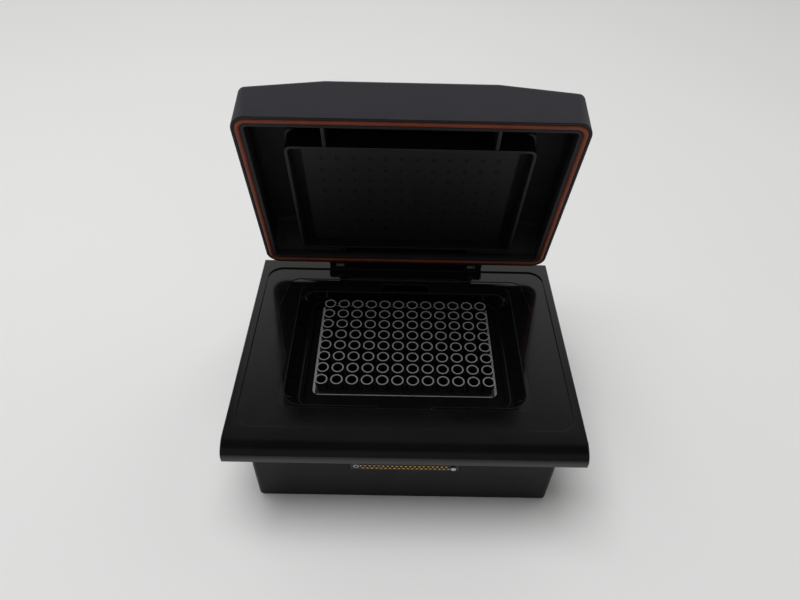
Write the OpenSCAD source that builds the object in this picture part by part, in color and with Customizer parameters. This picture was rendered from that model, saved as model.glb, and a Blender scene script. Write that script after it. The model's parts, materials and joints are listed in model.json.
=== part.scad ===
// Interchangeable 96-well block module of a thermal cycler, with its hinged heated lid.
// Frame: millimetres, +Z up, origin on the table under the middle of the 96-well block.
// X runs along the twelve columns, -Y is the front with the edge connector, +Y is the hinge side.

/* [Well block] */
// Distance between wells, the microplate standard
well_pitch = 9; // [9:0.5:12]
// Wells along X
well_cols = 12; // [4:1:12]
// Wells along Y
well_rows = 8; // [4:1:8]
// Outer diameter of a well cup
cup_d = 7.4; // [6.2:0.1:8.4]
// Mouth diameter of a well
well_mouth_d = 5.7; // [4:0.1:6]
// Bottom diameter of a well
well_tip_d = 2.6; // [1.5:0.1:3.5]
// Depth of a well
well_depth = 12.5; // [9:0.5:14]
// Height of the cups above the block plate
cup_h = 7.5; // [5:0.5:10]
// Margin of the block plate outside the outer cups
block_margin = 1.8; // [1:0.05:5]
// How much wider that margin is at the front and rear
block_end_extra = 0.35; // [0:0.05:1]
// Thickness of the block plate
block_plate_t = 5.5; // [4:0.5:8]
// Height of the well rims above the table
rim_z = 57; // [55:0.5:70]

/* [Lower case] */
// Width of the lower case
case_w = 173; // [160:1:184]
// Length of the lower case, front to rear
case_l = 137; // [128:1:150]
// Distance of the case's front face in front of the block's centre
case_front = 75; // [70:1:78]
// Wall thickness of the case
case_wall = 2.5; // [2:0.5:4]
// How far the case's top rim stands out from its walls
case_rim_out = 2; // [0:0.5:4]
// Thickness of the steel base plate
base_plate_t = 2; // [1:0.5:3]

/* [Top deck] */
// Width of the top deck
deck_w = 196; // [190:1:236]
// Length of the flat top, from the front crease to the rear edge
deck_l = 144; // [140:1:173]
// Distance of the front crease in front of the block's centre
deck_crease = 76; // [74:1:84]
// Height of the deck's top above the well rims
deck_over_rim = 5.5; // [4:0.5:8]
// Wall thickness of the deck
deck_wall = 2.5; // [2:0.5:3]
// Depth of the deck's side and rear skirts
skirt_h = 10.5; // [8:0.5:12]
// How far the front lip reaches in front of the crease
lip_reach = 8.5; // [6:0.5:12]
// Depth of the seat that the lid's rim lies in
seat_depth = 1; // [0.5:0.1:1.5]
// Gap between the lid's rim and the side of its seat
seat_gap = 0.7; // [0.4:0.1:2]

/* [Finger pocket and basin] */
// Depth of the finger pocket below the deck's top
pocket_depth = 1.5; // [1:0.5:4]
// How far the pocket reaches beside the basin at its waist and front
pocket_waist = 2.5; // [2:0.5:6]
// How far the pocket reaches beside the basin at its widest
pocket_bulge = 12.5; // [6:0.5:14]
// Depth of the basin's bottom below the pocket's floor
basin_depth = 10; // [8:0.5:11]
// Room between the block and the basin's bottom edge at each side
basin_side_room = 8.6; // [7:0.1:11]
// Room between the block and the basin's bottom edge at the front
basin_front_room = 12.15; // [9:0.05:14]
// Room between the block and the basin's bottom edge at the rear
basin_rear_room = 2.85; // [2.5:0.05:6]
// How far the basin's side walls lean outwards
basin_side_lean = 5.9; // [3:0.1:8]
// How far the basin's front wall leans outwards
basin_front_lean = 3.5; // [2:0.1:6]
// How far the basin's rear wall leans outwards, up to the shelf
basin_rear_lean = 1; // [0.5:0.1:3]
// Length of the sloping shelf behind the block
shelf_run = 7.3; // [4:0.1:9]
// Fall of that shelf
shelf_fall = 2.6; // [1:0.1:4]
// Width of the finger notch in the block surround
notch_w = 30; // [20:1:40]

/* [Lid] */
// Width of the lid's rim
lid_w = 185.4; // [178:0.2:190]
// Length of the lid's rim
lid_l = 127.4; // [120:0.2:130]
// Distance of the lid's middle in front of the block's centre
lid_fwd = 4.15; // [2:0.05:6]
// Height of the lid shell in the middle
lid_h = 32; // [27:1:36]
// Height of the lid shell at its sides
lid_side_h = 26; // [22:1:27]
// Wall thickness of the lid shell
lid_wall = 3; // [2:0.5:3.5]
// Width of the lid's thick rim
lid_rim_w = 6.8; // [6:0.1:8]
// Half width of the flat top and of the hinge housing
lid_flat = 46; // [42:1:50]
// Draft of the front and side walls, in degrees
lid_draft = 3; // [2:1:8]
// Slope of the lid's rear wall beside the hinge housing, in degrees
lid_rear_slope = 28; // [15:1:30]
// Width of the gasket bead
gasket_w = 2.8; // [2.4:0.1:4]
// How far the gasket stands out of its groove
gasket_proud = 0.5; // [0.3:0.1:0.5]
// How far the lid stands open, in degrees
lid_open = 75.4; // [0:0.1:90]

/* [Hinge] */
// Distance of the hinge axis behind the lid's rear face
hinge_back = 4.2; // [4:0.05:5]
// Height of the hinge axis above the lid's rim plane
hinge_up = 5.5; // [5:0.1:6]
// Radius of the hinge knuckles
knuckle_r = 3.2; // [3:0.1:3.6]
// Radius of the hinge pins
hinge_pin_r = 1.5; // [1:0.05:1.8]
// Radial running clearance on the pins
pin_clear = 0.05; // [0.02:0.01:0.1]
// Distance of the hinge knuckles from the middle plane
knuckle_x = 45.1; // [43:0.1:48]
// Length of the lid's knuckle
knuckle_l = 4; // [3:0.5:6]

/* [Heater] */
// Width of the floating heater frame
heater_w = 136; // [132:1:144]
// Length of the floating heater frame
heater_l = 91.5; // [76:0.5:96]
// Recess of the heater frame behind the lid's rim plane
heater_in = 2; // [1:0.5:3]
// Height of the heater frame's walls
heater_frame_h = 12; // [11:0.5:13]
// Wall thickness of the heater frame
heater_wall = 1.8; // [1.5:0.1:2.5]
// Strip that the frame shows on each side of the heated plate
plate_side_gap = 6.2; // [4:0.1:9]
// Gap between the heated plate and the frame's front and rear walls
plate_end_gap = 0.7; // [0.4:0.1:3]
// Thickness of the heated plate
plate_t = 4; // [3:0.5:4]
// Recess of the heated plate behind the face of its frame
plate_in = 6; // [5:0.5:6]
// Travel of the heater against its springs
float_travel = 3; // [2:0.5:3]

/* [Connector] */
// Contacts in each of the two rows
pin_count = 20; // [10:1:20]
// Distance between contacts in a row
pin_pitch = 2.54; // [2:0.01:3.05]
// Height of the connector above the table
connector_z = 34.6; // [25:0.1:40]
// Distance of the connector to the right of the middle plane
connector_x = 0.4; // [-10:0.1:10]

/* [Hidden] */

// A small overlap that keeps a cut from ending on a face.
eps = 0.05;
// Sides of a fine circle, and of one inside a hull.
fine = 48;
soft = 32;
// Free play beside a screw, and between stacked pieces that slide in.
screw_gap = 0.15;
slip_gap = 0.3;

// Deck levels.
deck_z = rim_z + deck_over_rim;
seat_z = deck_z - seat_depth;
pocket_z = deck_z - pocket_depth;
basin_z = pocket_z - basin_depth;
deck_under = deck_z - deck_wall;
skirt_z = deck_z - skirt_h;
deck_rear = deck_l - deck_crease;
case_rear = case_l - case_front;

// Block levels, from the rims down to the table.
block_w = (well_cols - 1) * well_pitch + cup_d + 2 * block_margin;
block_l = (well_rows - 1) * well_pitch + cup_d + 2 * (block_margin + block_end_extra);
block_top = rim_z - cup_h;
block_bottom = block_top - block_plate_t;
block_r = 4;
flange_t = 2;
flange_out = 6.5;
pad_t = 0.5;
peltier_t = 3.8;
peltier_bottom = block_bottom - pad_t - peltier_t;
sink_top = peltier_bottom - pad_t;
sink_base_t = 8;
sink_under = sink_top - sink_base_t;
sink_w = 150;
sink_l = 104;
fin_floor = 6;
fin_t = 1.5;
fin_pitch = 5;

// Basin, at its foot, at the shelf's edge and at its mouth on the pocket's floor.
basin_foot = block_w / 2 + basin_side_room;
basin_mouth = basin_foot + basin_side_lean;
basin_front_foot = -block_l / 2 - basin_front_room;
basin_front_mouth = basin_front_foot - basin_front_lean;
basin_rear_foot = block_l / 2 + basin_rear_room;
shelf_edge = basin_rear_foot + basin_rear_lean;
basin_rear_mouth = shelf_edge + shelf_run;
shelf_z = pocket_z - shelf_fall;
shelf_part = shelf_fall / basin_depth;
shelf_side = basin_mouth - shelf_part * basin_side_lean;
shelf_front = basin_front_mouth + shelf_part * basin_front_lean;
basin_foot_r = 8;
basin_shelf_r = 9;
basin_mouth_r = 11;
// The surround's opening, wider than the block by the seal at each side.
seal_side = 4.6;
seal_front = 8.95;
seal_rear = 1.05;
seal_t = 1.2;
surround_r = 7;
surround_in_w = block_w / 2 + seal_side;
surround_in_front = -block_l / 2 - seal_front;
surround_in_rear = block_l / 2 + seal_rear;
surround_out = 4;
surround_low = block_top - 1.5;
case_top = pocket_z - deck_wall - slip_gap;

// Lid, modelled closed, then opened about the hinge.
lid_mid = -lid_fwd;
rim_plane = seat_z + 0.9;
lid_front = lid_mid - lid_l / 2;
lid_rear = lid_mid + lid_l / 2;
hinge_y = lid_rear + hinge_back;
hinge_z = rim_plane + hinge_up;
lid_corner = 9;
rim_depth = 5;

// Heater stack, closed, upwards from the frame's face.
frame_z = rim_plane + heater_in;
plate_z = frame_z + plate_in;
frame_top = frame_z + heater_frame_h;
mat_z = plate_z + plate_t;
mat_t = 0.8;
insulation_t = 1.6;
carrier_z = mat_z + mat_t + insulation_t + float_travel + 0.2;
carrier_t = 2;
plate_w = heater_w - 2 * heater_wall - 2 * plate_side_gap;
plate_l = heater_l - 2 * heater_wall - 2 * plate_end_gap;
post_in_x = 18;
post_in_y = 17.75;
post_x = heater_w / 2 - post_in_x;
post_y = heater_l / 2 - post_in_y;
post_r = 2;
post_head_r = 4;
post_head_t = 1.5;
spring_r = 3.6;
boss_in_x = 30;
boss_in_y = 7.75;
boss_r = 3.2;
boss_x = heater_w / 2 - boss_in_x;
boss_y = heater_l / 2 - boss_in_y;

// Corner columns that carry the long case screws.
column_r = 4.5;
column_bite = 1;
column_in = case_wall + column_r - column_bite;
deck_column_r = column_r - column_bite - slip_gap;
column_x = case_w / 2 - column_in;
column_front = -case_front + column_in;
column_rear = case_rear - column_in;
m3_r = 1.5;
m3_head_r = 2.8;

// The list of the four points at plus and minus x, y about a middle.
function four(x, y, mid = 0) = [[-x, mid - y], [x, mid - y], [-x, mid + y], [x, mid + y]];
function columns() = [
  [-column_x, column_front], [column_x, column_front],
  [-column_x, column_rear], [column_x, column_rear]
];
// A point on the curve from a to c that leaves and arrives towards b.
function bend(a, b, c, t) = (1 - t) * (1 - t) * a + 2 * t * (1 - t) * b + t * t * c;

// A flat rectangle from two corners, with round corners.
module round_rect(low, high, r) {
  for (x = [low[0] + r, high[0] - r]) for (y = [low[1] + r, high[1] - r])
    translate([x, y]) circle(r = r, $fn = fine);
  translate([low[0] + r, low[1]]) square([high[0] - low[0] - 2 * r, high[1] - low[1]]);
  translate([low[0], low[1] + r]) square([high[0] - low[0], high[1] - low[1] - 2 * r]);
}

// A slab with round corners, centred on x = 0 and y = mid.
module slab(w, l, h, z, r, mid = 0) {
  translate([0, 0, z]) linear_extrude(height = h)
    round_rect([-w / 2, mid - l / 2], [w / 2, mid + l / 2], r);
}

// A pan-head screw with its head's underside at z and its shank going down.
module screw_down(x, y, z, length, r = m3_r, head_r = m3_head_r, head_t = 1.8) {
  translate([x, y, z]) cylinder(r = head_r, h = head_t, $fn = fine);
  translate([x, y, z - length]) cylinder(r = r, h = length + eps, $fn = fine);
}

// A bar along X between x0 and x1 with its axis at y, z.
module bar_x(x0, x1, y, z, r) {
  translate([x0, y, z]) rotate([0, 90, 0]) cylinder(r = r, h = x1 - x0, $fn = fine);
}

// Moves a lid piece from closed to where the lid stands open.
module opened() {
  translate([0, hinge_y, hinge_z]) rotate([-lid_open, 0, 0])
    translate([0, -hinge_y, -hinge_z]) children();
}

// ---- Base ----

module lower_case() {
  color("#1d1d1e") difference() {
    union() {
      slab(case_w, case_l, case_top, 0, 3, case_rear - case_l / 2);
      slab(case_w + 2 * case_rim_out, case_l + case_rim_out, case_top - skirt_z + 4, skirt_z - 4,
           4, case_rear - case_l / 2 + case_rim_out / 2);
    }
    difference() {
      slab(case_w - 2 * case_wall, case_l - 2 * case_wall, deck_under + 2, -1, 2,
           case_rear - case_l / 2);
      for (p = columns()) translate([p[0], p[1], base_plate_t])
        cylinder(r = column_r, h = skirt_z - base_plate_t, $fn = fine);
    }
    for (p = columns()) translate([p[0], p[1], -1])
      cylinder(r = m3_r + screw_gap, h = skirt_z + 2, $fn = fine);
    translate([connector_x - connector_w / 2 - slip_gap, -case_front - 1,
               connector_z - connector_h / 2 - slip_gap])
      cube([connector_w + 2 * slip_gap, case_wall + 2, connector_h + 2 * slip_gap]);
    translate([-grille_w / 2, case_rear - case_wall - 1, grille_z])
      cube([grille_w, case_wall + 2, grille_h]);
  }
}

module base_plate() {
  slot_count = 12;
  slot_gap = 10;
  color("#4a4b4d") difference() {
    union() {
      slab(case_w - 2 * case_wall - 2 * slip_gap, case_l - 2 * case_wall - 2 * slip_gap, base_plate_t,
           0, 2, case_rear - case_l / 2);
      for (p = four(sink_post_x, sink_post_y)) translate([p[0], p[1], base_plate_t])
        cylinder(r = 3.5, h = sink_under - base_plate_t, $fn = fine);
    }
    for (i = [0 : slot_count - 1]) translate([(i - (slot_count - 1) / 2) * slot_gap - 2, -34, -1])
      cube([4, 68, base_plate_t + 2]);
    for (p = columns()) translate([p[0], p[1], -1])
      cylinder(r = m3_r + screw_gap, h = base_plate_t + 2, $fn = fine);
    for (p = columns()) translate([p[0], p[1], -1])
      cylinder(r = m3_head_r + screw_gap, h = 2.2, $fn = fine);
    for (p = four(sink_post_x, sink_post_y)) translate([p[0], p[1], sink_under - 12])
      cylinder(r = m3_r + screw_gap, h = 13, $fn = fine);
  }
}

// Louvred outlet for the warm air, set in the rear wall.
grille_w = 120;
grille_h = 24;
grille_z = 8;
sink_post_x = 71;
sink_post_y = 46;

module rear_grille() {
  bars = 5;
  color("#1a1a1b") {
    translate([0, case_rear - case_wall, grille_z]) difference() {
      translate([-grille_w / 2 + slip_gap, 0, slip_gap])
        cube([grille_w - 2 * slip_gap, case_wall, grille_h - 2 * slip_gap]);
      for (i = [0 : bars - 1]) translate([-grille_w / 2 + 3, -1, 2.5 + i * 4.2])
        cube([grille_w - 6, case_wall + 2, 2.6]);
    }
    translate([0, case_rear - case_wall - 1.5, grille_z]) difference() {
      translate([-grille_w / 2 - 2, 0, -2]) cube([grille_w + 4, 1.5, grille_h + 4]);
      translate([-grille_w / 2 + 3, -1, 2.5]) cube([grille_w - 6, 3.5, grille_h - 5]);
    }
  }
}

module case_screws() {
  color("#b9babd") for (p = columns()) translate([p[0], p[1], 0]) {
    cylinder(r = m3_head_r, h = 1.2, $fn = fine);
    cylinder(r = m3_r, h = deck_under - 3, $fn = fine);
  }
}

// The deck's section, front lip to rear skirt; grow is how far it stands in from the skin.
function deck_section(grow) = concat(
  [[deck_rear - grow, skirt_z - (grow > 0 ? 1 : 0)], [deck_rear - grow, deck_z - grow]],
  [for (t = [0 : 0.125 : 1]) bend(
    [-deck_crease, deck_z - grow],
    [-deck_crease - lip_reach + 1 + grow, deck_z - 2.3 - grow],
    [-deck_crease - lip_reach + grow, deck_z - 7], t)],
  [[-deck_crease - lip_reach + grow, skirt_z - (grow > 0 ? 1 : 0)]]
);

module deck_extrusion(grow) {
  translate([-deck_w / 2 + grow, 0, 0]) rotate([90, 0, 90])
    linear_extrude(height = deck_w - 2 * grow) polygon(deck_section(grow));
}

// Where the pocket is widest, where its waist starts, how far it goes past the basin, and its corners.
pocket_wide_y = 21;
pocket_waist_y = -18;
pocket_past = 2;
pocket_rear_in = 5;
pocket_r = 7;

// Right half of the finger pocket's outline, from the rear to the front.
pocket_half = [
  [basin_mouth + pocket_bulge - pocket_rear_in, basin_rear_mouth + pocket_past],
  [basin_mouth + pocket_bulge, pocket_wide_y],
  [basin_mouth + pocket_waist, pocket_waist_y],
  [basin_mouth + pocket_waist, basin_front_mouth - pocket_past]
];

module pocket_outline(grow) {
  offset(r = pocket_r + grow, $fn = fine) offset(delta = -pocket_r) polygon(concat(
    pocket_half, [for (i = [len(pocket_half) - 1 : -1 : 0]) [-pocket_half[i][0], pocket_half[i][1]]]));
}

// One level of the basin: its half width, front and rear.
module basin_level(side, front, rear, z, grow, r) {
  translate([0, 0, z]) linear_extrude(height = eps)
    round_rect([-side - grow, front - grow], [side + grow, rear + grow], r + grow, $fn = soft);
}

// The basin's steep part below the shelf and its wider part above, both grown by the wall.
module basin_solid(grow, low, high) {
  hull() {
    basin_level(basin_foot, basin_front_foot, basin_rear_foot, low, grow, basin_foot_r);
    basin_level(shelf_side, shelf_front, shelf_edge, shelf_z - grow, grow, basin_shelf_r);
  }
  hull() {
    basin_level(shelf_side, shelf_front, shelf_edge, shelf_z - grow, grow, basin_shelf_r);
    basin_level(basin_mouth, basin_front_mouth, basin_rear_mouth, high, grow, basin_mouth_r);
  }
}

// Finger notch in the basin's front wall, grown by the wall for its outside.
notch_depth = 6;
notch_reach = 1.6;
notch_z = pocket_z - notch_depth;

module notch_box(grow, h) {
  translate([-notch_w / 2 - grow, basin_front_mouth - notch_reach - grow, notch_z - grow])
    cube([notch_w + 2 * grow, notch_reach + basin_front_lean + grow, h]);
}

// Slot in the middle of the shelf.
slot_w = 31;
slot_l = 4.4;

module top_deck() {
  color("#141415") difference() {
    union() {
      difference() {
        deck_extrusion(0);
        deck_extrusion(deck_wall);
      }
      translate([0, 0, pocket_z - deck_wall]) linear_extrude(height = deck_under - pocket_z + deck_wall + eps)
        pocket_outline(deck_wall);
      basin_solid(deck_wall, basin_z, pocket_z - deck_wall);
      notch_box(deck_wall, deck_under - notch_z + deck_wall);
      for (p = columns()) translate([p[0], p[1], skirt_z])
        cylinder(r = deck_column_r, h = deck_under - skirt_z + eps, $fn = fine);
    }
    slab(lid_w + 2 * seat_gap, lid_l + 2 * seat_gap, 5, seat_z, lid_corner + seat_gap, lid_mid);
    translate([0, 0, pocket_z]) linear_extrude(height = 8) pocket_outline(0);
    basin_solid(0, basin_z - eps, pocket_z + eps);
    notch_box(0, notch_depth + eps);
    for (p = columns()) translate([p[0], p[1], skirt_z - 1])
      cylinder(r = m3_r + screw_gap, h = deck_under - skirt_z, $fn = fine);
    translate([-slot_w / 2, shelf_edge + shelf_run / 2 - slot_l / 2, shelf_z - 2 * deck_wall])
      cube([slot_w, slot_l, 3 * deck_wall]);
  }
}

// Frame around the block, with a finger notch in its front edge.
module block_surround() {
  color("#161617") difference() {
    union() {
      translate([0, 0, surround_low]) linear_extrude(height = basin_z - surround_low)
        round_rect([-basin_foot - surround_out, basin_front_foot - surround_out],
                   [basin_foot + surround_out, basin_rear_foot + surround_out], 10);
      translate([0, 0, basin_z - eps]) linear_extrude(height = 1.2)
        round_rect([-basin_foot + 1, basin_front_foot + 1], [basin_foot - 1, basin_rear_foot - 0.5], 8);
    }
    translate([0, 0, surround_low - 1]) linear_extrude(height = 8)
      round_rect([-surround_in_w, surround_in_front], [surround_in_w, surround_in_rear], surround_r);
    translate([-notch_w / 2, basin_front_foot, basin_z]) cube([notch_w, 8, 6]);
  }
}

module block_seal() {
  color("#2a2a2b") translate([0, 0, surround_low]) linear_extrude(height = seal_t) difference() {
    round_rect([-surround_in_w, surround_in_front], [surround_in_w, surround_in_rear], surround_r);
    round_rect([-block_w / 2, -block_l / 2], [block_w / 2, block_l / 2], block_r);
  }
}

function well_x(i) = (i - (well_cols - 1) / 2) * well_pitch;
function well_y(j) = (j - (well_rows - 1) / 2) * well_pitch;

module sample_block() {
  color("#5b5c5e") difference() {
    union() {
      slab(block_w, block_l, block_plate_t, block_bottom, block_r);
      slab(block_w + 2 * flange_out, block_l - 8, flange_t, block_bottom, 3);
      for (i = [0 : well_cols - 1]) for (j = [0 : well_rows - 1])
        translate([well_x(i), well_y(j), block_top - eps])
          cylinder(d = cup_d, h = cup_h + eps, $fn = fine);
    }
    for (i = [0 : well_cols - 1]) for (j = [0 : well_rows - 1])
      translate([well_x(i), well_y(j), rim_z - well_depth])
        cylinder(d1 = well_tip_d, d2 = well_mouth_d, h = well_depth + eps, $fn = fine);
    for (p = four(clamp_x, clamp_y)) translate([p[0], p[1], block_bottom - 1])
      cylinder(r = m3_r + screw_gap, h = 6, $fn = fine);
    translate([sensor_x, sensor_y, block_bottom - 1])
      cylinder(r = sensor_r + screw_gap, h = block_plate_t + 2, $fn = fine);
  }
}

// The block's temperature probe stands between the two middle columns.
sensor_x = 0;
sensor_y = -well_pitch / 2;
sensor_r = 0.6;
clamp_x = block_w / 2 + 3.6;
clamp_y = 24;

module block_sensor() {
  color("#c8c9cb") {
    translate([sensor_x, sensor_y, block_bottom]) cylinder(r = sensor_r, h = rim_z - block_bottom - 0.6, $fn = fine);
  }
}

module clamp_screws() {
  color("#b9babd") for (p = four(clamp_x, clamp_y))
    screw_down(p[0], p[1], block_bottom + flange_t, 11, m3_r, 2.6, 1.8);
}

module thermal_pad(z) {
  slab(block_w - 4, block_l - 3, pad_t, z, 1);
}

module upper_thermal_pad() {
  color("#6f7072") thermal_pad(block_bottom - pad_t);
}

module lower_thermal_pad() {
  color("#6f7072") thermal_pad(sink_top);
}

// Six thermoelectric modules, three across and two deep.
module peltier_modules() {
  size_x = 34;
  size_y = 34.5;
  color("#e4e3dc") for (i = [-1 : 1]) for (j = [-0.5, 0.5])
    translate([i * (size_x + 1) - size_x / 2, j * (size_y + 1) - size_y / 2, peltier_bottom])
      cube([size_x, size_y, peltier_t]);
}

module heat_sink() {
  fins = 13;
  color("#a9abad") difference() {
    union() {
      slab(sink_w, sink_l, sink_base_t, sink_under, 2);
      for (i = [-fins : fins]) translate([i * fin_pitch - fin_t / 2, -sink_l / 2 + 1, fin_floor])
        cube([fin_t, sink_l - 2, sink_under - fin_floor + eps]);
    }
    for (p = four(sink_post_x, sink_post_y)) translate([p[0], p[1], sink_under - 1])
      cylinder(r = m3_r + screw_gap, h = sink_base_t + 2, $fn = fine);
    for (p = four(clamp_x, clamp_y)) translate([p[0], p[1], sink_top - 5.5])
      cylinder(r = m3_r + screw_gap, h = 6.5, $fn = fine);
  }
}

module sink_screws() {
  color("#b9babd") for (p = four(sink_post_x, sink_post_y))
    screw_down(p[0], p[1], sink_top, sink_base_t + 9);
}

// ---- Electronics ----

connector_w = pin_count * pin_pitch + 11;
connector_h = 7;
connector_depth = 9;
board_t = 1.6;
board_y = -case_front + connector_depth;
board_w = 120;
board_low = 10;
board_h = 36;
guide_x = pin_count * pin_pitch / 2 + 2.1;
row_gap = 2.2;

module control_board() {
  color("#1f5a3a") difference() {
    translate([-board_w / 2, board_y, board_low]) cube([board_w, board_t, board_h]);
    for (p = board_holes()) translate([p[0], board_y - 1, p[1]])
      rotate([-90, 0, 0]) cylinder(r = m3_r + screw_gap, h = board_t + 2, $fn = fine);
  }
}

function board_holes() = [
  [-board_w / 2 + 5, board_low + 5], [board_w / 2 - 5, board_low + 5],
  [-board_w / 2 + 5, board_low + board_h - 5], [board_w / 2 - 5, board_low + board_h - 5]
];

// Standoff screws from the board to the case's front wall.
module board_screws() {
  color("#b9babd") for (p = board_holes()) {
    translate([p[0], board_y + board_t, p[1]]) rotate([-90, 0, 0])
      cylinder(r = m3_head_r, h = 1.8, $fn = fine);
    translate([p[0], -case_front + case_wall, p[1]]) rotate([-90, 0, 0])
      cylinder(r = m3_r, h = connector_depth - case_wall + board_t + eps, $fn = fine);
    translate([p[0], -case_front + case_wall, p[1]]) rotate([-90, 0, 0])
      cylinder(r = m3_head_r, h = connector_depth - case_wall, $fn = fine);
  }
}

module front_connector() {
  color("#202021") difference() {
    translate([connector_x - connector_w / 2, -case_front - 0.4, connector_z - connector_h / 2])
      cube([connector_w, connector_depth + 0.4, connector_h]);
    for (side = [-1, 1]) translate([connector_x + side * guide_x, -case_front - 1, connector_z])
      rotate([-90, 0, 0]) cylinder(r = 1.6, h = 6, $fn = fine);
    for (p = pin_places()) translate([p[0], -case_front - 1, p[1]])
      rotate([-90, 0, 0]) cylinder(r = 0.65, h = 4.6, $fn = 16);
  }
}

// Two rows of contacts, the lower one set half a pitch to the right.
function pin_places() = [
  for (row = [0, 1]) for (i = [0 : pin_count - 1])
    [connector_x + (i - (pin_count - 0.5) / 2 + row / 2) * pin_pitch, connector_z + (0.5 - row) * row_gap]
];

module contact_pins() {
  color("#c9a34a") for (p = pin_places()) translate([p[0], -case_front - 0.9, p[1]])
    rotate([-90, 0, 0]) cylinder(r = 0.6, h = 4.4, $fn = 16);
}

module guide_ring() {
  color("#b9babd") translate([connector_x - guide_x, -case_front - 0.6, connector_z]) rotate([-90, 0, 0])
    difference() {
      cylinder(r = 1.5, h = 5.4, $fn = fine);
      translate([0, 0, -1]) cylinder(r = 0.9, h = 5, $fn = fine);
    }
}

module guide_pin() {
  color("#c8c9cb") translate([connector_x + guide_x, -case_front - 1.6, connector_z]) rotate([-90, 0, 0])
    cylinder(r = 1.5, h = 6.4, $fn = fine);
}

// ---- Hinge ----

washer_t = 0.6;
side_play = 0.1;
ear_outer_l = 4.2;
ear_inner_l = 3.4;
ear_in = knuckle_x - knuckle_l / 2 - side_play - washer_t;
ear_out = knuckle_x + knuckle_l / 2 + side_play + washer_t;

module ear(x0, x1) {
  bar_x(x0, x1, hinge_y, hinge_z, knuckle_r);
  translate([x0, hinge_y - 2.8, deck_z]) cube([x1 - x0, 5.6, hinge_z - deck_z]);
}

// Bracket on the deck's rear ledge, on the right-hand side.
module bracket() {
  difference() {
    union() {
      ear(ear_in - ear_inner_l, ear_in);
      ear(ear_out, ear_out + ear_outer_l);
      translate([ear_in - eps, hinge_y - 2.8, deck_z]) cube([ear_out - ear_in + 2 * eps, 5.6, 1]);
    }
    bar_x(ear_in - 10, ear_out + 10, hinge_y, hinge_z, hinge_pin_r + pin_clear);
  }
}

module pin() {
  head_t = 0.8;
  bar_x(ear_in - ear_inner_l, ear_out + ear_outer_l + eps, hinge_y, hinge_z, hinge_pin_r);
  bar_x(ear_out + ear_outer_l, ear_out + ear_outer_l + head_t, hinge_y, hinge_z, hinge_pin_r + 0.9);
}

module hinge_bracket_left() {
  color("#19191a") mirror([1, 0, 0]) bracket();
}

module hinge_bracket_right() {
  color("#19191a") bracket();
}

module hinge_pin_left() {
  color("#c8c9cb") mirror([1, 0, 0]) pin();
}

module hinge_pin_right() {
  color("#c8c9cb") pin();
}

module washer(x) {
  difference() {
    bar_x(x, x + washer_t, hinge_y, hinge_z, knuckle_r - 0.4);
    bar_x(x - 1, x + 2, hinge_y, hinge_z, hinge_pin_r + pin_clear);
  }
}

module friction_washers() {
  color("#b08d57") for (side = [0, 1]) mirror([side, 0, 0]) {
    washer(ear_in);
    washer(ear_out - washer_t);
  }
}

// Rounded cover over the middle of the hinge line.
module hinge_cover() {
  cover_r = 2.6;
  half = ear_in - ear_inner_l - slip_gap;
  color("#121213") {
    bar_x(-half, half, hinge_y - 0.2, hinge_z, cover_r);
    translate([-half, hinge_y - 0.2 - cover_r, deck_z]) cube([2 * half, 2 * cover_r, hinge_z - deck_z]);
  }
}

// ---- Lid ----

// The lid's outer form, or its cavity when the skin stands in by inset.
module lid_form(inset, low, side_top, top) {
  drop = tan(lid_draft);
  back = tan(lid_rear_slope);
  r = lid_corner - inset;
  edge = 4;
  hull() {
    translate([0, 0, low]) linear_extrude(height = eps) round_rect(
      [-lid_w / 2 + inset + drop * (low - rim_plane), lid_front + inset + drop * (low - rim_plane)],
      [lid_w / 2 - inset - drop * (low - rim_plane), lid_rear - inset - back * (low - rim_plane)],
      r, $fn = soft);
    for (x = [-1, 1]) {
      translate([x * (lid_w / 2 - inset - drop * lid_side_h - edge),
                 lid_front + inset + drop * lid_side_h + edge, side_top - edge]) sphere(r = edge, $fn = soft);
      translate([x * (lid_w / 2 - inset - drop * lid_side_h - edge),
                 lid_rear - inset - back * lid_side_h - edge + 2, side_top - edge]) sphere(r = edge, $fn = soft);
      translate([x * lid_flat, lid_front + inset + drop * lid_h + edge, top - edge])
        sphere(r = edge, $fn = soft);
      translate([x * lid_flat, lid_rear - inset - back * lid_h - edge + 2, top - edge])
        sphere(r = edge, $fn = soft);
    }
  }
}

// Upright box at the rear that the hinge arms screw to.
module hinge_housing(inset) {
  translate([-lid_flat + inset, 0, 0]) rotate([90, 0, 90]) linear_extrude(height = 2 * (lid_flat - inset))
    polygon([
      [lid_rear - 30, rim_plane + (inset > 0 ? rim_depth : 0)],
      [lid_rear - inset, rim_plane + (inset > 0 ? rim_depth : 0)],
      [lid_rear - inset, rim_plane + lid_h - 4 - inset],
      [lid_rear - 4 - inset, rim_plane + lid_h - inset],
      [lid_rear - 30, rim_plane + lid_h - inset]
    ]);
}

module lid_rim_cut(inset, z, h) {
  slab(lid_w - 2 * inset, lid_l - 2 * inset, h, z, max(lid_corner - inset, 2.2), lid_mid);
}

module lid_shell() {
  groove = gasket_w + 0.2;
  middle = lid_rim_w / 2 - 0.25;
  color("#2f2e31") opened() difference() {
    union() {
      lid_form(0, rim_plane, rim_plane + lid_side_h, rim_plane + lid_h);
      hinge_housing(0);
    }
    lid_form(lid_wall, rim_plane + rim_depth, rim_plane + lid_side_h - lid_wall,
             rim_plane + lid_h - lid_wall);
    hinge_housing(lid_wall);
    lid_rim_cut(lid_rim_w, rim_plane - 1, rim_depth + 2);
    difference() {
      lid_rim_cut(middle - groove / 2, rim_plane - 1, gasket_depth + 1);
      lid_rim_cut(middle + groove / 2, rim_plane - 2, gasket_depth + 3);
    }
  }
}

gasket_depth = 2.5;

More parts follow.
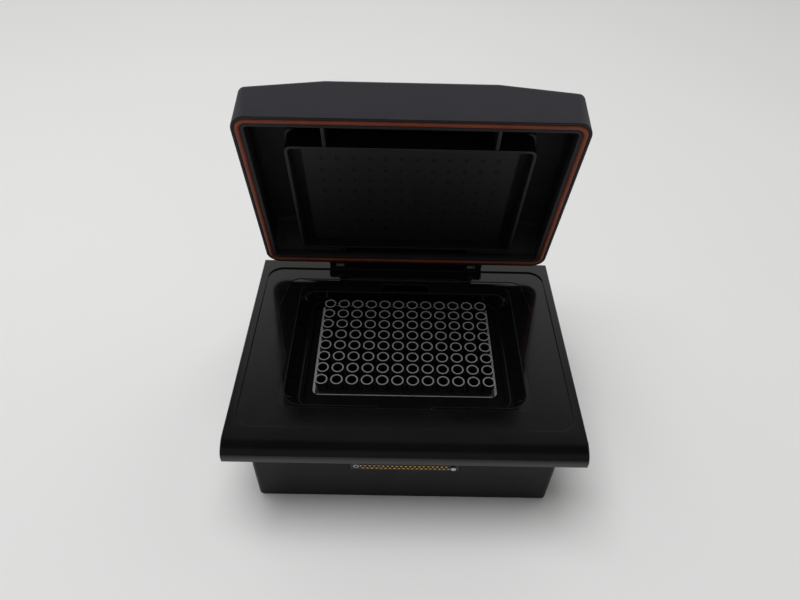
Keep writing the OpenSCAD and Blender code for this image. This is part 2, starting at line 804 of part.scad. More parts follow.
module lid_gasket() {
  middle = lid_rim_w / 2 - 0.25;
  color("#8a4a33") opened() difference() {
    lid_rim_cut(middle - gasket_w / 2, rim_plane - gasket_proud, gasket_depth + gasket_proud);
    lid_rim_cut(middle + gasket_w / 2, rim_plane - 3, gasket_depth + 6);
  }
}

// Arm on the right-hand side: a foot on the hinge housing and a knuckle on the pin.
module arm() {
  half = knuckle_l / 2;
  difference() {
    union() {
      bar_x(knuckle_x - half, knuckle_x + half, hinge_y, hinge_z, knuckle_r);
      translate([knuckle_x - half, lid_rear, hinge_z]) cube([2 * half, hinge_back, knuckle_r]);
      translate([knuckle_x - half - 3.2, lid_rear, hinge_z + 4.2]) cube([2 * half + 3.2, 1.6, 13]);
      translate([knuckle_x - half, lid_rear, hinge_z + 2]) cube([2 * half, 1.6, 4]);
    }
    bar_x(knuckle_x - 6, knuckle_x + 6, hinge_y, hinge_z, hinge_pin_r + pin_clear);
  }
}

module hinge_arm_left() {
  color("#8e9093") opened() mirror([1, 0, 0]) arm();
}

module hinge_arm_right() {
  color("#8e9093") opened() arm();
}

module arm_screws() {
  color("#b9babd") opened() for (side = [-1, 1]) for (up = [7.2, 14])
    translate([side * (knuckle_x - 1.6), lid_rear + 1.6, hinge_z + up]) rotate([-90, 0, 0])
      cylinder(r = 2, h = 1.2, $fn = fine);
}

// Four ribs on the lid's rim that steady the heater frame at its front and rear.
module guide_ribs() {
  rib_t = 2;
  front_x = 46;
  rear_x = lid_flat - lid_wall - rib_t;
  rib_low = frame_z;
  rib_high = frame_top;
  front_end = -heater_l / 2 - slip_gap;
  rear_end = heater_l / 2 + slip_gap;
  front_rim = lid_front + lid_rim_w;
  rear_rim = lid_rear - lid_rim_w;
  color("#101011") opened() for (side = [-1, 1]) {
    translate([side * front_x - rib_t / 2, front_rim, rib_low])
      cube([rib_t, front_end - front_rim, rib_high - rib_low]);
    translate([side * rear_x - rib_t / 2, rear_end, rib_low])
      cube([rib_t, rear_rim - rear_end, rib_high - rib_low]);
  }
}

// Screws that hold the carrier, with their heads sunk in its underside.
carrier_screw_r = 1.25;
carrier_screw_l = 6;
carrier_head_r = 2.3;
carrier_head_t = 1.1;

module heater_carrier() {
  boss_top = rim_plane + lid_h - lid_wall;
  color("#19191a") opened() difference() {
    union() {
      slab(heater_w + 4, heater_l - 4, carrier_t, carrier_z, 4);
      for (p = four(boss_x, boss_y)) translate([p[0], p[1], carrier_z + eps])
        cylinder(r = boss_r, h = boss_top - carrier_z - eps, $fn = fine);
    }
    for (p = four(post_x, post_y)) translate([p[0], p[1], carrier_z - 1])
      cylinder(r = post_r + pin_clear, h = carrier_t + 2, $fn = fine);
    for (p = four(boss_x, boss_y)) translate([p[0], p[1], carrier_z - 1]) {
      cylinder(r = carrier_screw_r + screw_gap, h = carrier_screw_l + 2, $fn = fine);
      cylinder(r = carrier_head_r + screw_gap, h = 1 + carrier_head_t + screw_gap, $fn = fine);
    }
  }
}

module carrier_screws() {
  color("#b9babd") opened() for (p = four(boss_x, boss_y)) translate([p[0], p[1], carrier_z]) {
    cylinder(r = carrier_head_r, h = carrier_head_t, $fn = fine);
    cylinder(r = carrier_screw_r, h = carrier_screw_l, $fn = fine);
  }
}

// ---- Floating heater ----

module heater_frame() {
  web_t = frame_top - mat_z;
  color("#1b1b1c") opened() difference() {
    slab(heater_w, heater_l, heater_frame_h, frame_z, 4);
    slab(heater_w - 2 * heater_wall, heater_l - 2 * heater_wall, mat_z - frame_z + 1, frame_z - 1, 2.2);
    slab(plate_w - 2, plate_l - 2, web_t + 2, mat_z - 1, 2);
  }
}

module heater_plate() {
  dimple_r = 1.4;
  color("#3a3b3d") opened() difference() {
    slab(plate_w, plate_l, plate_t, plate_z, 2);
    for (p = four(post_x, post_y)) translate([p[0], p[1], mat_z - 2])
      cylinder(r = 1.25 + screw_gap, h = 3, $fn = fine);
    for (i = [0 : well_cols - 1]) for (j = [0 : well_rows - 1])
      translate([well_x(i), well_y(j), plate_z - 1]) cylinder(r = dimple_r, h = 1.15, $fn = 16);
  }
}

module backing(z, h) {
  difference() {
    slab(plate_w - 4, plate_l - 4, h, z, 2);
    for (p = four(post_x, post_y)) translate([p[0], p[1], z - 1])
      cylinder(r = spring_r + 0.6, h = h + 2, $fn = fine);
    translate([-7, -5, z - 1]) cube([14, 10, h + 2]);
  }
}

module heater_mat() {
  color("#7a3b22") opened() backing(mat_z, mat_t);
}

module heater_insulation() {
  color("#d8d4c8") opened() backing(mat_z + mat_t, insulation_t);
}

module thermal_cutout() {
  color("#c8c9cb") opened() translate([0, 0, mat_z]) {
    translate([-6, -4, 0]) cube([12, 8, 1.2]);
    cylinder(r = 3.4, h = 2.4, $fn = fine);
  }
}

module shoulder_posts() {
  color("#b9babd") opened() for (p = four(post_x, post_y)) translate([p[0], p[1], 0]) {
    translate([0, 0, mat_z]) cylinder(r = post_r, h = carrier_z + carrier_t - mat_z + eps, $fn = fine);
    translate([0, 0, mat_z - 1.8]) cylinder(r = 1.25, h = 2, $fn = fine);
    translate([0, 0, carrier_z + carrier_t]) cylinder(r = post_head_r, h = post_head_t, $fn = fine);
  }
}

// Short coils round the posts that push the heater out of the lid.
module heater_springs() {
  wire_r = 0.4;
  turns = 4;
  free_l = carrier_z - mat_z;
  color("#d0d1d3") opened() for (p = four(post_x, post_y)) translate([p[0], p[1], mat_z])
    for (i = [0 : turns - 1]) translate([0, 0, wire_r + i * (free_l - 2 * wire_r) / (turns - 1)])
      rotate_extrude($fn = fine) translate([spring_r - wire_r - 0.2, 0]) circle(r = wire_r, $fn = 16);
}

lower_case();
base_plate();
rear_grille();
case_screws();
top_deck();
block_surround();
block_seal();
sample_block();
block_sensor();
clamp_screws();
upper_thermal_pad();
peltier_modules();
lower_thermal_pad();
heat_sink();
sink_screws();
control_board();
board_screws();
front_connector();
contact_pins();
guide_ring();
guide_pin();
hinge_bracket_left();
hinge_bracket_right();
hinge_pin_left();
hinge_pin_right();
friction_washers();
hinge_cover();
lid_shell();
lid_gasket();
hinge_arm_left();
hinge_arm_right();
arm_screws();
guide_ribs();
heater_carrier();
carrier_screws();
heater_frame();
heater_plate();
heater_mat();
heater_insulation();
thermal_cutout();
shoulder_posts();
heater_springs();
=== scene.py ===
# %% [markdown]
# # A thermal cycler's block module
# The module is a black plastic case with a heat sink inside, a glossy deck with a 96-well block in a
# basin, and a hinged lid with a heated plate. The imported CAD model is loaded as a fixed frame, and every
# piece made here takes its place from that frame, so nothing has to be fitted by eye.

# %% Load the frame
import json
import math

import bmesh
import bpy
from mathutils import Matrix, Vector


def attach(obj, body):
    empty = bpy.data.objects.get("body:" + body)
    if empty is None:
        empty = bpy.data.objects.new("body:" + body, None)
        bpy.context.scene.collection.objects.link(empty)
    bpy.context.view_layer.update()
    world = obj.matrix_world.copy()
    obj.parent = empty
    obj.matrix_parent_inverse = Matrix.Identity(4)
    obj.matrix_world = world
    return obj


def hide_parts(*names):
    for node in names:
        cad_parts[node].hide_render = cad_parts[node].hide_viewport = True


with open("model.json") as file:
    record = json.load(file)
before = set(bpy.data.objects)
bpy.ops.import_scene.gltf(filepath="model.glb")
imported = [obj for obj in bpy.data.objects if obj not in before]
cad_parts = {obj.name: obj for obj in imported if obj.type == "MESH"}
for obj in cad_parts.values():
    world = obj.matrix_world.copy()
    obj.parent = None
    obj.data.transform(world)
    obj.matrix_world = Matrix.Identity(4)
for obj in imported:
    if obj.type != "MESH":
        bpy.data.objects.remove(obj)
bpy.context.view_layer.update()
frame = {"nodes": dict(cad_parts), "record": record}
nodes = frame["nodes"]
MM = 0.001

# %% [markdown]
# ## The camera
# A camera is a position, three angles and a lens. Turning it first about the vertical, then down, then
# about its own line of sight keeps the three angles easy to read. It stands in front of the module and
# above it, and looks down at the block at about 45 degrees.

# %% Camera
CAMERA_PLACE = (-0.0064, -0.2568, 0.3453)
LOOK_DOWN = 44.56
TURN_RIGHT = 0.55
TILT = 1.48
LENS = 27.67


def add_camera():
    camera = bpy.data.objects.new("camera", bpy.data.cameras.new("camera"))
    bpy.context.scene.collection.objects.link(camera)
    camera.data.lens = LENS
    camera.data.sensor_width = 36.0
    camera.data.clip_start = 0.01
    turn = Matrix.Rotation(math.radians(-TURN_RIGHT), 4, "Z")
    down = Matrix.Rotation(math.radians(90.0 - LOOK_DOWN), 4, "X")
    tilt = Matrix.Rotation(math.radians(TILT), 4, "Z")
    camera.matrix_world = Matrix.Translation(CAMERA_PLACE) @ turn @ down @ tilt
    bpy.context.scene.camera = camera
    return camera


camera = add_camera()
print("camera at", [round(v, 3) for v in camera.location])

# %% [markdown]
# ## Colours and nodes
# Colours are written as the hex values that a screen shows. A shader needs linear light, so one function
# turns them. One more function adds a node, sets its inputs and makes its links, and every material below
# is built with it. Object coordinates are metres in the module's own frame, so a pattern's scale is
# simply how many of its features fit in a metre.

# %% Colour and node helpers


def linear(hex_colour):
    """Linear red, green, blue and alpha from an sRGB hex colour such as "#1a1a1b"."""
    parts = [int(hex_colour[i:i + 2], 16) / 255.0 for i in (1, 3, 5)]
    return [p / 12.92 if p <= 0.04045 else ((p + 0.055) / 1.055) ** 2.4 for p in parts] + [1.0]


def per_metre(size_mm):
    """How many features of that size fit in a metre, for a texture's Scale."""
    return 1000.0 / size_mm


def add(tree, kind, inputs=None, **settings):
    """Adds a node. An input's value is a plain value or the output socket to link to it."""
    node = tree.nodes.new(kind)
    for name, value in settings.items():
        setattr(node, name, value)
    for name, value in (inputs or {}).items():
        socket = node.inputs[name]
        if isinstance(value, bpy.types.NodeSocket):
            tree.links.new(value, socket)
        else:
            socket.default_value = value
    return node


def new_material(name, **shader_values):
    """A material with a Principled shader. Uniform values are set on the shader's own sockets."""
    material = bpy.data.materials.new(name)
    material.use_nodes = True
    tree = material.node_tree
    shader = tree.nodes["Principled BSDF"]
    for socket, value in shader_values.items():
        shader.inputs[socket.replace("_", " ")].default_value = value
    place = add(tree, "ShaderNodeTexCoord").outputs["Object"]
    return material, tree, shader, place


print("black as a screen shows it", [round(v, 4) for v in linear("#1a1a1b")])

# %% [markdown]
# ## Moulded plastics
# ABS is moulded against polished or spark-eroded steel. Polished steel gives the deck its gloss, which
# is broken only by faint wiping marks and dust. Spark-eroded steel gives the case and the lid a fine
# matt grain. Both kinds are the same three things: a base colour that hardly varies, a roughness that
# varies with handling, and a bump with the grain's real size. So one function makes them from those.

# %% Moulded plastic


def moulded(name, dark, light, rough, grain_mm, bump_mm, marks_mm=18.0, marks=0.06, ior=1.54,
            gleam=0.5):
    """Plastic with a colour between two hexes, a mean roughness and a grain of a real size.
    gleam is below 0.5 where the pits of a coarse grain shade each other and swallow some gloss."""
    material, tree, shader, place = new_material(name, IOR=ior, Specular_IOR_Level=gleam)
    patches = add(tree, "ShaderNodeTexNoise", {"Vector": place, "Scale": per_metre(marks_mm),
                                               "Detail": 5.0, "Roughness": 0.6})
    grain = add(tree, "ShaderNodeTexNoise", {"Vector": place, "Scale": per_metre(grain_mm),
                                             "Detail": 2.0, "Roughness": 0.5})
    colour = add(tree, "ShaderNodeValToRGB", {"Fac": patches.outputs["Fac"]})
    colour.color_ramp.elements[0].position = 0.35
    colour.color_ramp.elements[0].color = linear(dark)
    colour.color_ramp.elements[1].position = 0.7
    colour.color_ramp.elements[1].color = linear(light)
    tree.links.new(colour.outputs["Color"], shader.inputs["Base Color"])
    spread = add(tree, "ShaderNodeMapRange", {"Value": patches.outputs["Fac"], "From Min": 0.3,
                                              "From Max": 0.7, "To Min": max(rough - marks, 0.02),
                                              "To Max": rough + marks})
    tree.links.new(spread.outputs["Result"], shader.inputs["Roughness"])
    bump = add(tree, "ShaderNodeBump", {"Height": grain.outputs["Fac"], "Strength": 1.0,
                                        "Distance": bump_mm * MM})
    tree.links.new(bump.outputs["Normal"], shader.inputs["Normal"])
    return material


# Deck: black ABS with a very fine grain, a soft mirror. Its pocket and basin are polished, and its edges
# get a slightly lighter, duller black: a painted highlight along every step.
gloss_abs = moulded("grained_gloss_black_abs", "#0a0a0b", "#0d0d0e", 0.13, 0.35, 0.0006, marks=0.04,
                    gleam=0.4)
polished_abs = moulded("polished_black_abs", "#080808", "#0a0a0b", 0.07, 4.0, 0.002, marks=0.02)
edge_highlight_abs = moulded("edge_highlight_black_abs", "#1d1d1e", "#232324", 0.3, 1.0, 0.001)
# The lid's inside: the same charcoal ABS off a smooth core, so it has no grain that shows.
smooth_abs = moulded("smooth_black_abs", "#252527", "#2b2b2c", 0.55, 1.0, 0.005, gleam=0.25)
# Case: black ABS with a light satin grain, about 0.4 mm across.
satin_abs = moulded("satin_black_abs", "#0c0c0d", "#111112", 0.42, 0.45, 0.012, gleam=0.16)
# Lid: charcoal ABS with a spark-eroded grain. It is drawn at 0.6 mm so that it still shows.
spark_abs = moulded("spark_textured_abs", "#26252a", "#2c2b30", 0.55, 0.6, 0.04, gleam=0.2)
# Heater frame, brackets, connector: glass-filled nylon, matt and nearly black.
nylon = moulded("glass_filled_nylon", "#0c0c0d", "#121214", 0.48, 0.8, 0.015)
# Green glass-epoxy of the control board.
board_epoxy = moulded("glass_epoxy_board", "#123c24", "#1a5232", 0.35, 1.2, 0.01)
print("plastics", [m.name for m in (gloss_abs, polished_abs, satin_abs, spark_abs, nylon, board_epoxy)])

# %% [markdown]
# ## Rubbers and soft sheets
# The lid's gasket is rust-coloured silicone, the seal round the block is black silicone, and pressed
# graphite foil carries heat into and out of the Peltier modules. They scatter light softly, so they
# have no clear reflection, and their small unevenness is wide compared with a plastic's grain.

# %% Rubbers, foil, fibre and ceramic
silicone_orange = moulded("silicone_rust_orange", "#7a3620", "#8c4329", 0.52, 1.5, 0.03, ior=1.41)
silicone_black = moulded("silicone_black", "#070707", "#0a0a0a", 0.6, 1.5, 0.02, ior=1.41, gleam=0.08)
heater_silicone = moulded("silicone_heater_mat", "#6e3018", "#84401f", 0.55, 2.5, 0.05, ior=1.41)
graphite = moulded("pressed_graphite_foil", "#3a3b3d", "#515255", 0.38, 0.7, 0.02, ior=2.0)
mineral_fibre = moulded("mineral_fibre_board", "#cfc9b8", "#e2ddcf", 0.9, 0.9, 0.12)
alumina = moulded("alumina_ceramic", "#dedcd3", "#ebe9e2", 0.3, 1.0, 0.01, ior=1.76)

# %% [markdown]
# ## Metals
# Three finishes cover the module. Bead-blasted and anodised aluminium (the block, the heated plate) is
# even and dull, with a fine pitted grain. Extruded or turned metal has streaks along the way the tool
# went. Gold plate is thin and smooth. A metal's colour is the colour of its reflection, so the colour
# goes straight to the shader, and only roughness and bump carry a pattern.

# %% Metals


def metal(name, colour, rough, grain_mm, bump_mm, streak=(1.0, 1.0, 1.0), spread=0.1, metallic=1.0):
    """Metal of one colour. streak stretches the grain: a small number along an axis draws it out.
    metallic is below 1 only for the painted highlights, so the lamp's light shows on them too."""
    material, tree, shader, place = new_material(name, Base_Color=linear(colour), Metallic=metallic)
    along = add(tree, "ShaderNodeMapping", {"Vector": place, "Scale": streak})
    grain = add(tree, "ShaderNodeTexNoise", {"Vector": along.outputs["Vector"],
                                             "Scale": per_metre(grain_mm), "Detail": 4.0})
    rubbed = add(tree, "ShaderNodeMapRange", {"Value": grain.outputs["Fac"], "From Min": 0.3,
                                              "From Max": 0.7, "To Min": rough - spread,
                                              "To Max": rough + spread})
    tree.links.new(rubbed.outputs["Result"], shader.inputs["Roughness"])
    bump = add(tree, "ShaderNodeBump", {"Height": grain.outputs["Fac"], "Strength": 1.0,
                                        "Distance": bump_mm * MM})
    tree.links.new(bump.outputs["Normal"], shader.inputs["Normal"])
    return material


# Block: aluminium, bead-blasted and dark-anodised.
BLASTED_GREY = "#68686a"
block_metal = metal("blasted_anodised_aluminium", BLASTED_GREY, 0.45, 0.5, 0.01)
# The cups' lips take a lighter metal on their up-facing tops: a painted highlight for the light the tops
# catch while the walls stay in shade. It is half diffuse, so the lamp's light shows on it as well.
HIGHLIGHT_METALLIC = 0.5
lip_highlight_metal = metal("lip_highlight_aluminium", "#949496", 0.5, 0.4, 0.004, metallic=HIGHLIGHT_METALLIC)
# Heated plate: hard-anodised aluminium, almost black.
plate_metal = metal("hard_anodised_aluminium", "#454547", 0.5, 0.5, 0.01)
# The dimples of the heated plate: the same metal, darker.
dimple_dark_metal = metal("dimple_dark_aluminium", "#383838", 0.6, 0.5, 0.01)
# Heat sink: extruded aluminium with die lines along its fins.
sink_metal = metal("extruded_aluminium", "#c4c5c7", 0.32, 0.6, 0.01, streak=(1.0, 0.04, 1.0))
# Screws, guide pins and hinge pins: zinc-plated or ground steel.
zinc_steel = metal("zinc_plated_steel", "#b4b5b8", 0.28, 0.4, 0.004)
ground_steel = metal("ground_steel", "#c6c7c9", 0.2, 0.3, 0.002, streak=(0.1, 1.0, 1.0), spread=0.06)
# Base plate: powder-coated sheet steel, a paint with an orange-peel surface.
powder_coat = moulded("powder_coated_steel", "#2b2b2d", "#333335", 0.45, 1.8, 0.05)
# Hinge arms: aluminium, milled upwards. Washers: bronze, rubbed smooth. Contacts: gold plate.
arm_metal = metal("machined_aluminium", "#a6a7aa", 0.3, 0.5, 0.004, streak=(1.0, 1.0, 0.1))
bronze = metal("rubbed_bronze", "#a5814f", 0.35, 0.4, 0.004)
gold = metal("gold_plate", "#d9ac4e", 0.22, 0.5, 0.001, spread=0.05)
print("materials", len(bpy.data.materials))

# %% [markdown]
# ## The block's border, with a painted highlight
# A strip along both sides of the block, and only the very edge at the front and rear, is painted a
# lighter, half-diffuse grey: a painted highlight for the light the block's edges catch. A mask in the
# material does this without cutting the block's faces: it is 1 where a point is far enough from the
# middle.

# %% Painted border highlight
BORDER_HIGHLIGHT_GREY = "#9c9c9e"
BORDER_HIGHLIGHT_FROM_MM = {"X": 53.4, "Y": 36.9}


def paint_border_highlight(material, whole, highlight_grey, highlight_from_mm):
    """Lighter, half-diffuse metal past a distance from the middle along X and along Y: a painted
    highlight.
    """
    tree = material.node_tree
    shader = tree.nodes["Principled BSDF"]
    place = add(tree, "ShaderNodeTexCoord").outputs["Object"]
    parts = add(tree, "ShaderNodeSeparateXYZ", {"Vector": place})
    past = []
    for axis, start in highlight_from_mm.items():
        away = add(tree, "ShaderNodeMath", {0: parts.outputs[axis]}, operation="ABSOLUTE")
        past.append(add(tree, "ShaderNodeMath", {0: away.outputs["Value"], 1: start * MM},
                        operation="GREATER_THAN").outputs["Value"])
    border = add(tree, "ShaderNodeMath", {0: past[0], 1: past[1]}, operation="MAXIMUM")
    colour = add(tree, "ShaderNodeValToRGB", {"Fac": border.outputs["Value"]})
    colour.color_ramp.elements[0].color = linear(whole)
    colour.color_ramp.elements[1].color = linear(highlight_grey)
    tree.links.new(colour.outputs["Color"], shader.inputs["Base Color"])
    # Half metallic, so the lamp's light shows on the painted highlight.
    border_highlight_metallic = add(tree, "ShaderNodeMapRange", {"Value": border.outputs["Value"], "To Min": 1.0,
                                             "To Max": HIGHLIGHT_METALLIC})
    tree.links.new(border_highlight_metallic.outputs["Result"], shader.inputs["Metallic"])


paint_border_highlight(block_metal, BLASTED_GREY, BORDER_HIGHLIGHT_GREY, BORDER_HIGHLIGHT_FROM_MM)
print("nodes in the block's material", len(block_metal.node_tree.nodes))

# %% [markdown]
# ## Which finish each slot has
# The record gives every CAD node a material slot. One table says which finish stands for each slot, and
# every CAD node takes its own from there. A piece made below takes the finish of the node it replaces.

# %% Finishes for the slots
FINISHES = {
    "case_plastic": satin_abs, "deck_plastic": gloss_abs, "surround_plastic": polished_abs,
    "lid_plastic": spark_abs, "inner_plastic": nylon, "block_metal": block_metal,
    "sink_metal": sink_metal, "sheet_steel": powder_coat, "screw_steel": zinc_steel,
    "pin_steel": ground_steel, "arm_metal": arm_metal, "washer_bronze": bronze,
    "contact_gold": gold, "seal_rubber": silicone_black, "gasket_rubber": silicone_orange,
    "graphite_sheet": graphite, "module_ceramic": alumina, "board_laminate": board_epoxy,
    "heater_metal": plate_metal, "heater_rubber": heater_silicone, "foam_insulation": mineral_fibre,
}
SLOT_OF = {entry["node"]: entry["material_slot"] for entry in frame["record"]["subparts"]}
BODY_OF = {node: body for body, members in frame["record"]["behaviour"]["bodies"].items()
           for node in members}
for node, cad in nodes.items():
    cad.data.materials.clear()
    cad.data.materials.append(FINISHES[SLOT_OF[node]])
print("finishes in use", len(set(SLOT_OF.values())))

# %% [markdown]
# ## Moulded edges
# No moulded or machined edge is perfectly sharp: each catches a thin line of light. The CAD solids have
# sharp edges, because their fits are tested on exact faces. So a visible piece is a copy of its CAD
# solid, with its triangles merged back to flat faces and a Bevel modifier on every edge that turns by
# more than 30 degrees. Gentle curves turn by less, so they stay as they are and are only shaded smooth.
# Normals weighted by face area keep the large faces flat right up to the small round ones. Some pieces
# have a second finish on faces that a rule picks out, and one more function gives it to them.

# %% Rounded copy of a CAD node
# A bevel's weight runs from 0 to 1, so each size is a share of the widest one.
WIDEST_EDGE_MM = 2.0
WELD_MM = 0.002
FLAT_WITHIN = math.radians(0.2)
EDGE_TURNS = math.radians(30.0)
LARGE_FACES_LEAD = 90


def stand_in(piece, node):
    """The piece replaces a CAD node, on the same body and with the same finish."""
    piece.data.materials.append(FINISHES[SLOT_OF[node]])
    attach(piece, BODY_OF[node])
    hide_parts(node)


def new_piece(name, mesh):
    piece = bpy.data.objects.new(name, mesh)
    bpy.context.scene.collection.objects.link(piece)
    return piece


def rounded_copy(node, edge_mm, segments=2, edge_finish=None):
    """A copy of a CAD node with soft edges. edge_mm is a size, or a function of an edge's middle in mm.
    edge_finish is a material for the rounded edges alone."""
    made = bmesh.new()
    made.from_mesh(nodes[node].data)
    bmesh.ops.remove_doubles(made, verts=made.verts, dist=WELD_MM * MM)
    bmesh.ops.dissolve_limit(made, angle_limit=FLAT_WITHIN, verts=made.verts, edges=made.edges)
    for face in made.faces:
        face.smooth = True
    weight = made.edges.layers.float.new("bevel_weight_edge")
    for edge in made.edges:
        if edge.calc_face_angle(0.0) > EDGE_TURNS:
            middle = (edge.verts[0].co + edge.verts[1].co) / (2 * MM)
            size = edge_mm(middle) if callable(edge_mm) else edge_mm
            edge[weight] = size / WIDEST_EDGE_MM
            edge.smooth = size > 0
    mesh = bpy.data.meshes.new(node + "_piece")
    made.to_mesh(mesh)
    made.free()
    piece = new_piece(node + "_piece", mesh)
    bevel = piece.modifiers.new("soft edge", "BEVEL")
    bevel.width = WIDEST_EDGE_MM * MM
    bevel.segments = segments
    bevel.limit_method = "WEIGHT"
    bevel.use_clamp_overlap = False
    flat = piece.modifiers.new("flat faces", "WEIGHTED_NORMAL")
    flat.weight = LARGE_FACES_LEAD
    flat.keep_sharp = True
    stand_in(piece, node)
    if edge_finish:
        piece.data.materials.append(edge_finish)
        bevel.material = len(piece.data.materials) - 1
    return piece


def refinish(piece, finish, picks):
    """Gives a further finish to the faces that picks(face) is true for, and counts them."""
    piece.data.materials.append(finish)
    picked = [face for face in piece.data.polygons if picks(face)]
    for face in picked:
        face.material_index = len(piece.data.materials) - 1
    return len(picked)


print("an edge is rounded where it turns by more than", round(math.degrees(EDGE_TURNS)), "degrees")

# %% [markdown]
# ## Case, hinges and small mouldings
# These pieces need nothing but their edges. A moulding has edges of about 0.3 mm, and a deburred metal
# piece has 0.2 mm. The connector is left sharp. The case has a rim that steps out under the deck.

# %% Case, hinges and small mouldings
CASE_STEP_MM = 48.0
CASE_FRONT_MM = -70.0
CASE_EDGE_MM = 0.3


def case_edge(middle):
    """The step under the rim dies out in the front face, so it stays sharp there."""
    at_step = abs(middle.z - CASE_STEP_MM) < 0.5 and middle.y < CASE_FRONT_MM
    return 0.0 if at_step else CASE_EDGE_MM


EDGES_MM = {
    "lower_case": case_edge, "heater_frame": 0.3, "hinge_cover": 0.5, "hinge_bracket_left": 0.25,
    "hinge_bracket_right": 0.25, "hinge_arm_left": 0.2, "hinge_arm_right": 0.2,
    "front_connector": 0.0, "guide_ribs": 0.3, "rear_grille": 0.25, "base_plate": 0.2,
    "heater_carrier": 0.2,
}
for node, edge in EDGES_MM.items():
    rounded_copy(node, edge)
print("rounded pieces", len(EDGES_MM))

# %% [markdown]
# ## The deck
# The deck is one moulding with two finishes. Its flats, where the lid's rim lies, are finely grained and
# scatter what they mirror. The finger pocket and the basin are polished, so they look much blacker. The
# faces below the lid's seat get the polished finish, and the rounded edges get a lighter black, a painted
# highlight that draws a thin line along each step. The outer edges are rounder than the small steps.

# %% Deck
SEAT_MM = 61.5
POCKET_MM = 61.0
# Where the outer edges are, then how far the basin's mouth and the finger pocket reach.
DECK_SIDE_MM, DECK_REAR_MM, LIP_FRONT_MM = 97.5, 67.5, -83.5
MOUTH_SIDE_MM, MOUTH_FRONT_MM, MOUTH_REAR_MM = 69.6, -53.2, 48.6
POCKET_SIDE_MM, POCKET_FRONT_MM, POCKET_REAR_MM = 86, -58, 54
OUTER_EDGE_MM, MOUTH_EDGE_MM, STEP_EDGE_MM = 0.4, 0.3, 0.18


def deck_edge(middle):
    """How round an edge of the deck is, from where its middle is."""
    if abs(middle.x) > DECK_SIDE_MM or middle.y > DECK_REAR_MM or middle.y < LIP_FRONT_MM:
        return OUTER_EDGE_MM
    level = abs(middle.z - POCKET_MM) < 0.03
    inside = abs(middle.x) < MOUTH_SIDE_MM and MOUTH_FRONT_MM < middle.y < MOUTH_REAR_MM
    return MOUTH_EDGE_MM if level and inside else STEP_EDGE_MM


def polished_in_mould(face):
    middle = face.center / MM
    inside = abs(middle.x) < POCKET_SIDE_MM and POCKET_FRONT_MM < middle.y < POCKET_REAR_MM
    return inside and middle.z < SEAT_MM - 0.2


# The rounded edges take the painted highlight, a lighter black.
deck = rounded_copy("top_deck", deck_edge, segments=3, edge_finish=edge_highlight_abs)
polished = refinish(deck, polished_abs, polished_in_mould)
print("deck faces", len(deck.data.polygons), "polished", polished)

# %% [markdown]
# ## The block and its surround
# The 96 cups are turned with small round lips. Their up-facing tops take a lighter metal, a painted
# highlight, so each lip is a light ring over a dark wall. The surround's raised frame has a rounder edge
# than its hidden flange, and that edge draws the thin bright line that frames the block.

# %% Block and surround
RIM_MM = 57.0
FRAME_MM = 51.5
LIP_EDGE_MM, FRAME_EDGE_MM, FLANGE_EDGE_MM = 0.22, 0.8, 0.2
FACES_UP = 0.9


def surround_edge(middle):
    return FRAME_EDGE_MM if middle.z > FRAME_MM else FLANGE_EDGE_MM


def on_lip(face):
    return face.center.z > (RIM_MM - 0.05) * MM and face.normal.z > FACES_UP


block = rounded_copy("sample_block", LIP_EDGE_MM)
# The lips' up-facing tops take the painted highlight.
lips = refinish(block, lip_highlight_metal, on_lip)
rounded_copy("block_surround", surround_edge, segments=4)
print("block faces", len(block.data.polygons), "on lips", lips)

# %% [markdown]
# ## The heated plate's dimples
# Each dimple sits over a tube's cap and shows as a faint dark dot. The dimples' own small faces take
# the darker finish.

# %% Heated plate
DIMPLE_MM = 1.6
plate = rounded_copy("heater_plate", 0.0)


def in_dimple(face):
    corners = [plate.data.vertices[i].co for i in face.vertices]
    return max((corner - face.center).length for corner in corners) < DIMPLE_MM * MM


dots = refinish(plate, dimple_dark_metal, in_dimple)
print("heated plate faces", len(plate.data.polygons), "in dimples", dots)

# %% [markdown]
# ## The lid shell and its gasket
# The shell is grained outside and smooth inside, because only the outer half of the mould is
# spark-eroded. A face is inside when it looks at the middle of the lid. The gasket is a silicone bead
# pressed into a groove, so its section is nearly round and it leaves a dark line along both its sides.

# %% Lid shell and gasket
# A point in the air inside the open lid, in metres.
LID_MIDDLE = Vector((0.0, 0.045, 0.13))


def looks_inward(face):
    return (LID_MIDDLE - face.center).dot(face.normal) > 0


lid = rounded_copy("lid_shell", 0.4, segments=3)
inner = refinish(lid, smooth_abs, looks_inward)
gasket = rounded_copy("lid_gasket", 1.1, segments=5)
print("lid faces", len(lid.data.polygons), "inside", inner, "gasket faces", len(gasket.data.polygons))

# %% [markdown]
# ## The floor and the light
# A plain pale floor and soft light from a bright room. The deck is a black mirror, so most of what is
# seen on it is the room behind the module: bright near the horizon and dimmer overhead. The sky's
# brightness therefore follows its height, and one large lamp gives the soft shadow. The lamp itself is
# hidden from reflections, because the deck's curved lip would show it as a bright band.

# %% Floor
FLOOR_REACH = 6.0


def add_floor(reach):
    mesh = bpy.data.meshes.new("floor")
    mesh.from_pydata([(-reach, -reach, 0), (reach, -reach, 0), (reach, reach, 0), (-reach, reach, 0)],
                     [], [(0, 1, 2, 3)])
    floor = new_piece("floor", mesh)
    material, tree, shader, place = new_material("white_laminate", Roughness=0.5, IOR=1.45)
    cloud = add(tree, "ShaderNodeTexNoise", {"Vector": place, "Scale": per_metre(400.0)})
    tint = add(tree, "ShaderNodeMix", {"Factor": cloud.outputs["Fac"], "A": linear("#dedede"),
                                       "B": linear("#e3e3e3")}, data_type="RGBA")
    tree.links.new(tint.outputs["Result"], shader.inputs["Base Color"])
    mesh.materials.append(material)
    return floor


floor = add_floor(FLOOR_REACH)
print(floor.name, "reaches", FLOOR_REACH, "m each way")

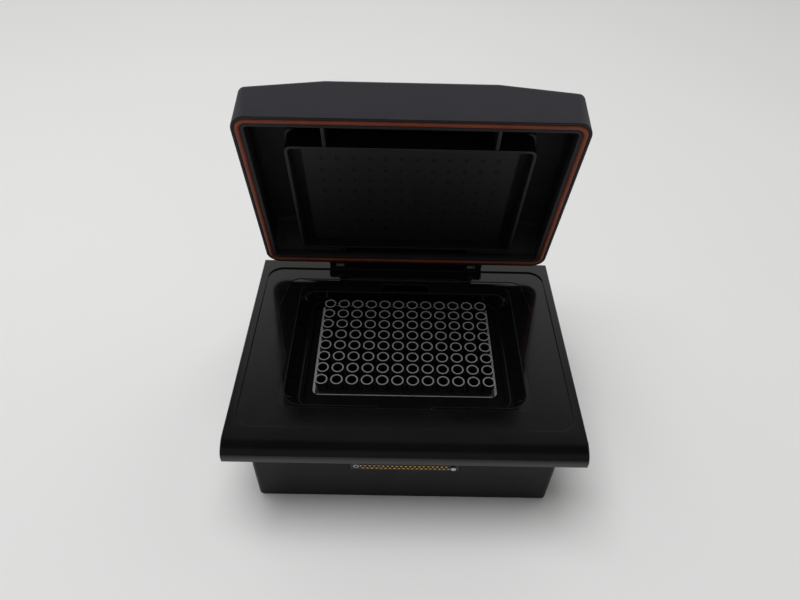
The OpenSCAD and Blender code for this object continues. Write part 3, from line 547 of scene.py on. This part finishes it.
# %% Sky and lamp
# A direction's height runs from 0 at the horizon to 1 overhead. Its depth runs from -1 in front of the
# module to 1 behind it.
DIMS_FROM_HEIGHT, DIM_AT_HEIGHT = 0.62, 0.86
FRONT_TO_DEPTH, REAR_FROM_DEPTH = -0.3, 0.45


def add_sky(horizon, overhead, front):
    """A room whose brightness falls from the horizon to overhead, and is a share of that in front."""
    world = bpy.data.worlds.new("room")
    world.use_nodes = True
    tree = world.node_tree
    way = add(tree, "ShaderNodeTexCoord").outputs["Generated"]
    parts = add(tree, "ShaderNodeSeparateXYZ", {"Vector": way})
    height = add(tree, "ShaderNodeMapRange", {"Value": parts.outputs["Z"],
                                              "From Min": DIMS_FROM_HEIGHT, "From Max": DIM_AT_HEIGHT,
                                              "To Min": horizon, "To Max": overhead},
                 interpolation_type="SMOOTHSTEP")
    ahead = add(tree, "ShaderNodeMapRange", {"Value": parts.outputs["Y"],
                                             "From Min": FRONT_TO_DEPTH, "From Max": REAR_FROM_DEPTH,
                                             "To Min": front, "To Max": 1.0},
                interpolation_type="SMOOTHSTEP")
    both = add(tree, "ShaderNodeMath", {0: height.outputs["Result"], 1: ahead.outputs["Result"]},
               operation="MULTIPLY")
    tree.links.new(both.outputs["Value"], tree.nodes["Background"].inputs["Strength"])
    tree.nodes["Background"].inputs["Color"].default_value = linear("#fffefc")
    bpy.context.scene.world = world


def add_lamp(name, place, aim, size, power):
    lamp = bpy.data.objects.new(name, bpy.data.lights.new(name, "AREA"))
    bpy.context.scene.collection.objects.link(lamp)
    lamp.data.shape = "SQUARE"
    lamp.data.size = size
    lamp.data.energy = power
    lamp.location = place
    lamp.visible_glossy = False
    lamp.rotation_mode = "QUATERNION"
    lamp.rotation_quaternion = (Vector(aim) - Vector(place)).to_track_quat("-Z", "Y")
    return lamp


add_sky(horizon=0.8, overhead=0.13, front=0.2)
lamp = add_lamp("softbox", place=(-0.3, 0.1, 2.0), aim=(0.0, 0.0, 0.05), size=1.5, power=35.0)
bpy.context.scene.view_settings.view_transform = "Standard"
print(lamp.name, lamp.data.size, "m across,", lamp.data.energy, "W")

# %% Finish
bpy.context.view_layer.update()
